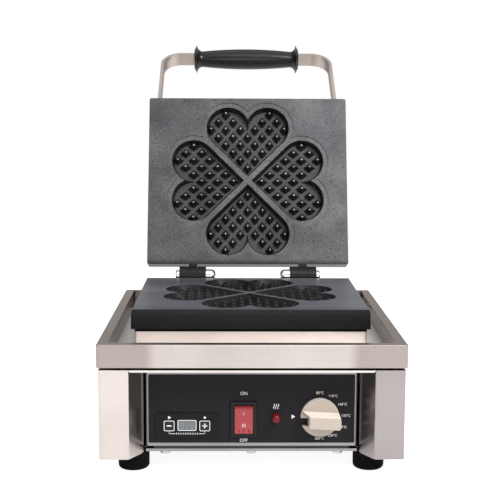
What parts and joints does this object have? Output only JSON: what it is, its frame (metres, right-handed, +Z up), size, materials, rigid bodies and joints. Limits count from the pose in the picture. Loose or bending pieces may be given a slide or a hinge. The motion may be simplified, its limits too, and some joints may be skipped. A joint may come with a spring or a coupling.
{
  "type": "waffle maker",
  "caption": "Table-top electric waffle maker: steel casing with drip tray, hinged cast plates with a heart clover pattern, lid handle, timer, rocker switch, lamp and thermostat knob.",
  "frame": {"origin": "on the worktop, midway between the four feet", "axes": "+X to the user's right, +Y to the rear, towards the hinge, +Z up"},
  "size_m": [0.291, 0.5473, 0.4271],
  "materials": {
    "stainless": "satin brushed",
    "zinc_steel": "zinc plated",
    "bright_fixings": "polished",
    "strap_steel": "satin",
    "cast_plate": "seasoned, machined faces",
    "heater_sheath": "oxidised sheath",
    "mineral_wool": "felted",
    "copper_tube": "drawn tube",
    "black_rubber": "matte",
    "panel_black": "fine matte film",
    "grip_black": "polished thermoset",
    "black_plastic": "moulded",
    "key_black": "fine matte, moulded",
    "display_grey": "grey liquid-crystal window",
    "knob_satin": "metallic satin",
    "rocker_red": "translucent",
    "lamp_red": "translucent",
    "block_white": "ceramic"
  },
  "bodies": {
    "base": {"side_panel_left": "stainless", "side_panel_right": "stainless", "rear_panel": "stainless", "bottom_plate": "stainless", "front_rail": "stainless", "top_tray": "stainless", "plate_pedestal": "stainless", "control_panel": "stainless", "panel_nut_bar": "zinc_steel", "bottom_screws": "zinc_steel", "rear_screws": "zinc_steel", "foot_screws": "zinc_steel", "foot_nuts": "zinc_steel", "tray_fixings": "zinc_steel", "plate_bolts": "zinc_steel", "lower_element_clamp": "zinc_steel", "lower_clamp_fixings": "zinc_steel", "thermostat_screws": "zinc_steel", "gland_locknut": "zinc_steel", "terminal_block_screws": "zinc_steel", "hinge_bolts": "bright_fixings", "hinge_washers": "bright_fixings", "hinge_dome_nuts": "bright_fixings", "lower_plate": "cast_plate", "lower_heating_element": "heater_sheath", "lower_insulation": "mineral_wool", "thermostat_capillary": "copper_tube", "rubber_feet": "black_rubber", "tray_seal": "black_rubber", "plate_gasket": "black_rubber", "rear_lead_bush": "black_rubber", "panel_overlay": "panel_black", "timer_bezel": "panel_black", "switch_housing": "black_plastic", "timer_case": "black_plastic", "thermostat_body": "black_plastic", "lamp_body": "black_plastic", "cable_gland": "black_plastic", "timer_display": "display_grey", "lamp_lens": "lamp_red", "terminal_block": "block_white"},
    "lid": {"upper_plate": "cast_plate", "upper_heating_element": "heater_sheath", "upper_element_clamp": "zinc_steel", "upper_clamp_fixings": "zinc_steel", "upper_insulation": "mineral_wool", "lid_cover": "stainless", "cover_pillars": "zinc_steel", "cover_screws": "zinc_steel", "lid_lead_bush": "black_rubber", "handle_strap": "strap_steel", "handle_grip": "grip_black", "handle_screws": "bright_fixings", "handle_nuts": "zinc_steel"},
    "knob": {"thermostat_knob": "knob_satin", "thermostat_shaft": "zinc_steel"},
    "rocker": {"power_rocker": "rocker_red"},
    "minus_button": {"timer_minus_button": "key_black"},
    "plus_button": {"timer_plus_button": "key_black"}
  },
  "joints": [
    {"name": "lid_hinge", "type": "hinge", "parent": "base", "child": "lid", "pos_m": [0, 0.145, 0.146], "axis": [1, 0, 0], "range_deg": [0, 108]},
    {"name": "thermostat_turn", "type": "hinge", "parent": "base", "child": "knob", "pos_m": [0.0652, -0.1316, 0.0525], "axis": [0, 1, 0], "range_deg": [0, 270]},
    {"name": "power_rocker_tip", "type": "hinge", "parent": "base", "child": "rocker", "pos_m": [-0.0075, -0.13, 0.05], "axis": [-1, 0, 0], "range_deg": [0, 20]},
    {"name": "timer_minus_press", "type": "slide", "parent": "base", "child": "minus_button", "axis": [0, 1, 0], "range_m": [0, 0.0008], "stiffness_N_per_m": 800},
    {"name": "timer_plus_press", "type": "slide", "parent": "base", "child": "plus_button", "axis": [0, 1, 0], "range_m": [0, 0.0008], "stiffness_N_per_m": 800}
  ]
}
